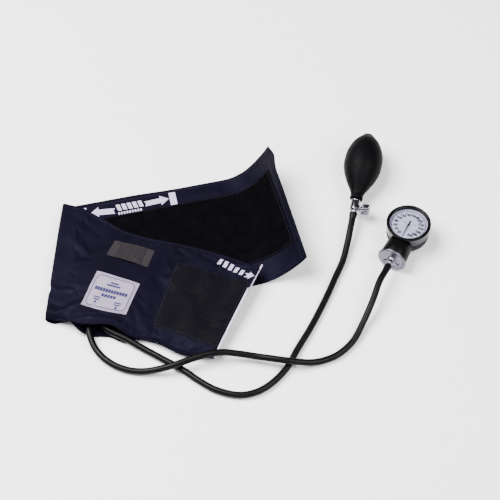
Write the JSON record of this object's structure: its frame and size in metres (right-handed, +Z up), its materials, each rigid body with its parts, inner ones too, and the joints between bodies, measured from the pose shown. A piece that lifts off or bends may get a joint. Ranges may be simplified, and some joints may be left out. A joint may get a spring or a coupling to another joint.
{
  "type": "blood pressure cuff",
  "caption": "Aneroid blood pressure cuff, folded flat, with two hoses, an inflation bulb with release valve, and a round dial gauge",
  "frame": {"origin": "on the table under the middle of the set, hoses left out: the centre of the box's base", "axes": "+Z up out of the table; +X from the cuff's fold towards the gauge, along the longest extent; +Y away from the side where the hoses leave the cuff"},
  "size_m": [0.4202, 0.3311, 0.0473],
  "materials": {
    "nylon": "coated navy nylon pack cloth, soft sheen",
    "loop_pile": "black brushed loop pile",
    "hook_tape": "dark ribbed hook tape",
    "white_tape": "white woven edge tape",
    "label_cloth": "white coated cloth, blue print",
    "webbing": "grey-brown ribbed webbing",
    "bladder_rubber": "matt black sheet rubber",
    "hose_rubber": "black rubber hose, satin",
    "bulb_rubber": "black moulded rubber, matt",
    "seal_rubber": "black sealing rubber",
    "black_case": "black lacquered case, satin",
    "chrome_trim": "polished chrome plate",
    "lens": "clear flat lens",
    "dial_enamel": "white enamel with black scale",
    "pointer_paint": "black painted",
    "nickel": "satin nickel plate",
    "brass": "machined brass",
    "steel": "bright steel",
    "valve_chrome": "polished chrome plate, lightly worn"
  },
  "bodies": {
    "cuff_set": {"cuff_tail": "nylon", "cuff_cover": "nylon", "cuff_fold": "nylon", "cuff_lining": "nylon", "loop_pile_panel": "loop_pile", "hook_panel": "hook_tape", "index_strip": "white_tape", "cuff_label": "label_cloth", "gauge_strap": "webbing", "bladder": "bladder_rubber", "bladder_port_gauge": "bladder_rubber", "bladder_port_bulb": "bladder_rubber", "gauge_hose": "hose_rubber", "bulb_hose": "hose_rubber", "gauge_hose_sleeve": "hose_rubber", "bulb_hose_sleeve": "hose_rubber", "gauge_case": "black_case", "bezel": "black_case", "case_band": "chrome_trim", "gauge_lens": "lens", "dial_plate": "dial_enamel", "capsule_gasket": "seal_rubber", "capsule_cap": "nickel", "hose_nipple": "nickel", "movement_plate_lower": "brass", "movement_plate_upper": "brass", "movement_pillar_1": "brass", "movement_pillar_2": "brass", "movement_pillar_3": "brass", "pressure_capsule": "brass", "plate_screw_1": "steel", "plate_screw_2": "steel", "plate_screw_3": "steel", "back_screw_1": "steel", "back_screw_2": "steel", "hairspring": "steel", "cuff_clip": "steel", "inflation_bulb": "bulb_rubber", "intake_valve_body": "bulb_rubber", "release_valve_body": "valve_chrome", "valve_bonnet": "valve_chrome", "needle_seal": "seal_rubber"},
    "sector": {"sector_gear": "brass", "sector_shaft": "steel"},
    "hand": {"pointer": "pointer_paint", "pointer_arbor": "steel"},
    "pin": {"push_pin": "steel"},
    "needle": {"valve_needle": "steel"},
    "knob": {"release_knob": "valve_chrome"},
    "intake_ball": {"intake_valve_ball": "steel"},
    "outlet_ball": {"outlet_check_ball": "steel"}
  },
  "joints": [
    {"name": "sector_swing", "type": "hinge", "parent": "cuff_set", "child": "sector", "pos_m": [0.17814, 0.00999, 0.01543], "axis": [0.0185, 0.0376, 0.9991], "range_deg": [0, 36.66]},
    {"name": "pointer_turn", "type": "hinge", "parent": "cuff_set", "child": "hand", "pos_m": [0.18532, 0.01987, 0.02033], "axis": [0.0185, 0.0376, 0.9991], "range_deg": [-330, 0]},
    {"name": "pin_push", "type": "slide", "parent": "cuff_set", "child": "pin", "axis": [0.4411, 0.8965, -0.0419], "range_m": [0, 0.00135]},
    {"name": "needle_lift", "type": "slide", "parent": "cuff_set", "child": "needle", "axis": [0.9813, -0.1925, 0], "range_m": [0, 0.0011]},
    {"name": "release_screw", "type": "hinge", "parent": "needle", "child": "knob", "pos_m": [0.13883, 0.04907, 0.01487], "axis": [0.9813, -0.1925, 0], "range_deg": [0, 540]},
    {"name": "intake_ball_travel", "type": "slide", "parent": "cuff_set", "child": "intake_ball", "axis": [-0.1911, -0.974, -0.1219], "range_m": [0, 0.0012]},
    {"name": "outlet_ball_travel", "type": "slide", "parent": "cuff_set", "child": "outlet_ball", "axis": [-0.1911, -0.974, -0.1219], "range_m": [0, 0.0012]}
  ],
  "couplings": [
    {"joint": "pointer_turn", "follows": "sector_swing", "ratio": -9},
    {"joint": "pin_push", "follows": "sector_swing", "m_per_rad": 0.0020838},
    {"joint": "needle_lift", "follows": "release_screw", "m_per_rad": 0.00011141}
  ]
}
